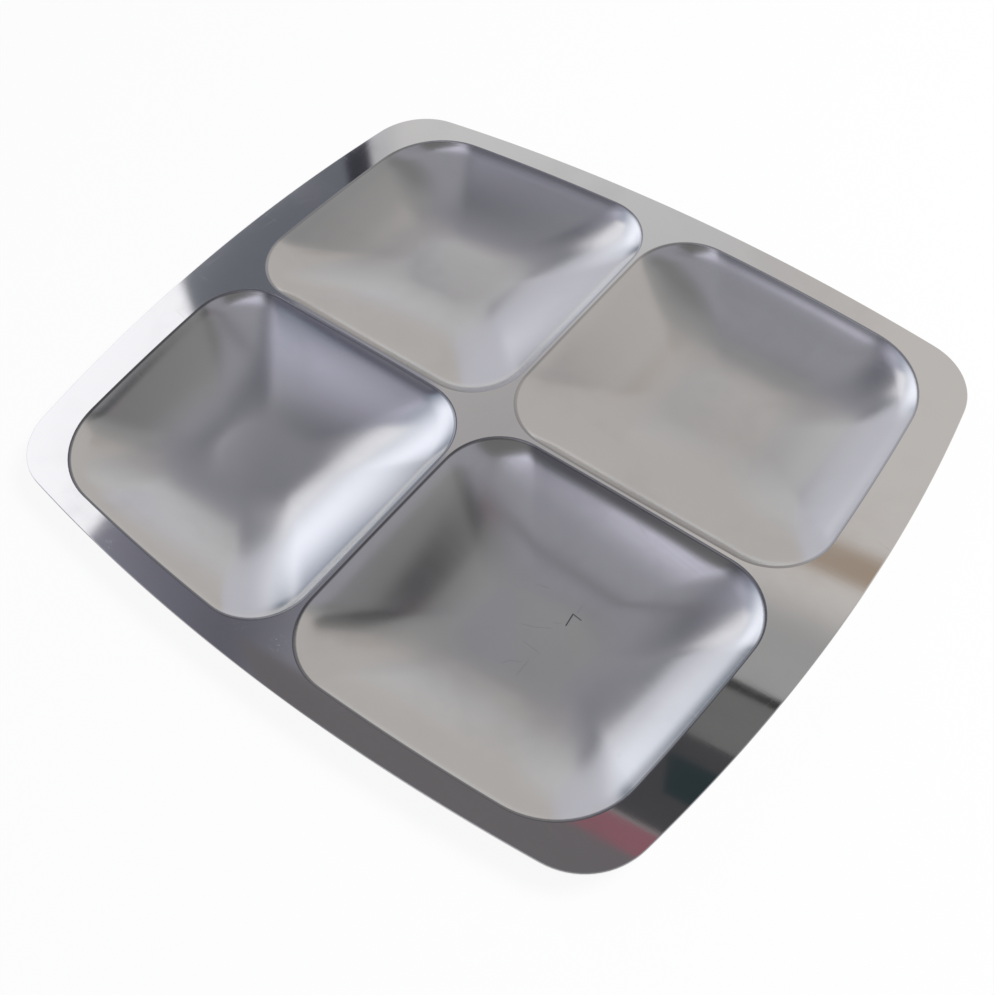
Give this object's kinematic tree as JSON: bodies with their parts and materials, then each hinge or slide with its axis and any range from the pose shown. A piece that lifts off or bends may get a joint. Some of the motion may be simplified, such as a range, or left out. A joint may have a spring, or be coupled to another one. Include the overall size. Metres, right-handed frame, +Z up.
{
  "type": "divided compartment plate",
  "caption": "Flat serving plate pressed from steel sheet, with bowed sides, a polished flange and dished satin compartments parted by narrow ridges.",
  "frame": {"origin": "under the middle of the plate, on the plane that the compartment floors rest on", "axes": "+X along the plate towards one wide flange, +Y across it, +Z up"},
  "size_m": [0.28, 0.248, 0.0118],
  "materials": {
    "polished_steel": "polished, with fine scratches",
    "satin_steel": "satin, fine brushed"
  },
  "bodies": {
    "root": {"rim_flange": "polished_steel", "divider_web": "polished_steel", "well_back_left": "satin_steel", "well_back_right": "satin_steel", "well_front_left": "satin_steel", "well_front_right": "satin_steel"}
  },
  "joints": []
}
